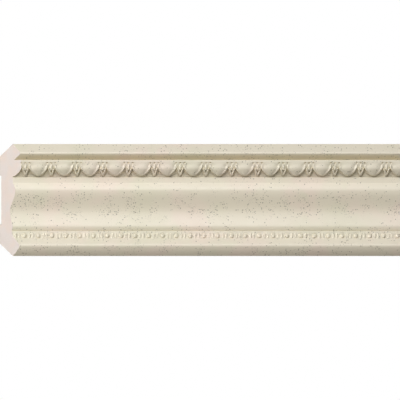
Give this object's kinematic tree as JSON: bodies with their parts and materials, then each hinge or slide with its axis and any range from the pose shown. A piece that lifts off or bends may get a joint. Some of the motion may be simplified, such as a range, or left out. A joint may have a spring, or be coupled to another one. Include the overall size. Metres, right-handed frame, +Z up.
{
  "type": "cornice moulding length",
  "caption": "Length of wall-to-ceiling cornice moulding with an egg-and-dart band, an S-curve and a bead-and-reel band, one end bevelled and one cut square.",
  "frame": {"origin": "middle of the bearing face that lies on the wall, half-way along the piece's length", "axes": "+X along the length, +Y into the wall, square to the wall bearing face, +Z up, square to the ceiling bearing face; the bevelled end is at -X"},
  "size_m": [0.406, 0.08, 0.08],
  "materials": {
    "sand_finish": "foamed polystyrene with a satin cream paint and fine dark sand flecks on the face, bare pale foam on the ends and back"
  },
  "bodies": {
    "root": {"cornice_moulding": "sand_finish"}
  },
  "joints": []
}
